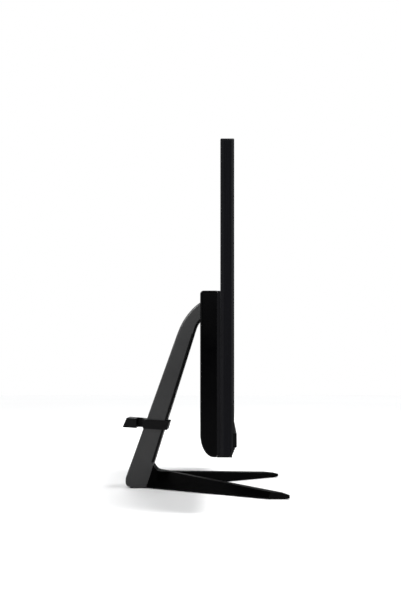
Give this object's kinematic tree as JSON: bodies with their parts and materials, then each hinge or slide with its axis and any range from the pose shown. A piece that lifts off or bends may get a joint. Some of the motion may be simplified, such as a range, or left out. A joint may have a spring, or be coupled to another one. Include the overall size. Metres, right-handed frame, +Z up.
{
  "type": "all in one pc",
  "caption": "Slim desktop computer built into its display, tilting on a leaning gooseneck arm with a two-legged V foot and a cable clip.",
  "frame": {"origin": "on the desk, under the middle of the object's overall box", "axes": "+X along the screen's width, to the right of a user who faces it; -Y is the screen side; +Z up"},
  "size_m": [0.54, 0.2302, 0.436],
  "materials": {
    "arm_paint": "fine matte powder coat",
    "foot_paint": "satin black coat",
    "strip_plastic": "matte moulded",
    "rubber_pad": "matte rubber",
    "screw_steel": "black oxide steel",
    "hinge_steel": "machined steel",
    "clip_plastic": "satin moulded",
    "bezel_plastic": "satin moulded",
    "chin_plastic": "satin black",
    "grille_plastic": "fine texture",
    "trim_plastic": "satin moulded",
    "button_plastic": "satin moulded",
    "shutter_plastic": "satin moulded",
    "frame_plastic": "fine brushed texture",
    "rear_plastic": "fine textured",
    "cover_plastic": "satin to gloss black",
    "screen_glass": "anti-glare black screen",
    "diffuser_sheet": "white diffuser",
    "tray_steel": "galvanised sheet",
    "circuit_board": "solder mask",
    "chip_nickel": "nickel plated",
    "copper_plate": "bare copper",
    "fin_aluminium": "bare aluminium",
    "drive_aluminium": "cast and machined",
    "fan_plastic": "moulded",
    "socket_plastic": "moulded",
    "speaker_plastic": "moulded",
    "port_steel": "nickel plated shell",
    "ribbon_film": "polyimide film",
    "light_lens": "clear light pipe",
    "lens_glass": "coated lens"
  },
  "bodies": {
    "stand": {"stand_arm": "arm_paint", "arm_front_strip": "strip_plastic", "v_base": "foot_paint", "rubber_feet": "rubber_pad", "base_screws": "screw_steel", "cable_clip": "clip_plastic", "hinge_pin": "hinge_steel", "friction_washers": "hinge_steel", "hinge_nuts": "hinge_steel"},
    "head": {"front_bezel": "bezel_plastic", "camera_board": "circuit_board", "camera_lens": "lens_glass", "chin_cover": "chin_plastic", "status_light": "light_lens", "speaker_grille": "grille_plastic", "bottom_trim": "trim_plastic", "power_button_board": "circuit_board", "lcd_panel": "screen_glass", "light_guide": "diffuser_sheet", "led_strip": "circuit_board", "panel_tray": "tray_steel", "panel_driver_board": "circuit_board", "mid_frame": "frame_plastic", "rear_panel": "rear_plastic", "system_cover": "cover_plastic", "cover_screws": "screw_steel", "chassis_plate": "tray_steel", "motherboard": "circuit_board", "processor": "chip_nickel", "cold_plate": "copper_plate", "heat_pipes": "copper_plate", "fin_stack": "fin_aluminium", "fan_housing": "fan_plastic", "memory_sockets": "socket_plastic", "memory_modules": "circuit_board", "ssd_module": "circuit_board", "wireless_card": "circuit_board", "coin_cell": "chip_nickel", "hard_drive": "drive_aluminium", "drive_bracket": "tray_steel", "left_speaker": "speaker_plastic", "right_speaker": "speaker_plastic", "io_plate": "tray_steel", "usb_ports": "port_steel", "hdmi_port": "port_steel", "ethernet_jack": "port_steel", "power_jack": "socket_plastic", "audio_jack": "socket_plastic", "display_cable": "ribbon_film", "antennas": "ribbon_film", "hinge_bracket": "hinge_steel", "hinge_screws": "screw_steel", "hinge_covers": "cover_plastic"},
    "fan_rotor": {"fan_rotor": "fan_plastic"},
    "power_button": {"power_button": "button_plastic"},
    "camera_shutter": {"camera_shutter": "shutter_plastic"}
  },
  "joints": [
    {"name": "head_tilt", "type": "hinge", "parent": "stand", "child": "head", "pos_m": [0, -0.01, 0.258], "axis": [-1, 0, 0], "range_deg": [-5, 15]},
    {"name": "fan_spin", "type": "hinge", "parent": "head", "child": "fan_rotor", "pos_m": [0.112, -0.0173, 0.15], "axis": [0, 1, 0], "continuous": true},
    {"name": "power_press", "type": "slide", "parent": "head", "child": "power_button", "axis": [0, 0, 1], "range_m": [0, 0.0008], "stiffness_N_per_m": 600, "springref_m": -0.0012},
    {"name": "shutter_slide", "type": "slide", "parent": "head", "child": "camera_shutter", "axis": [-1, 0, 0], "range_m": [0, 0.0105]}
  ]
}
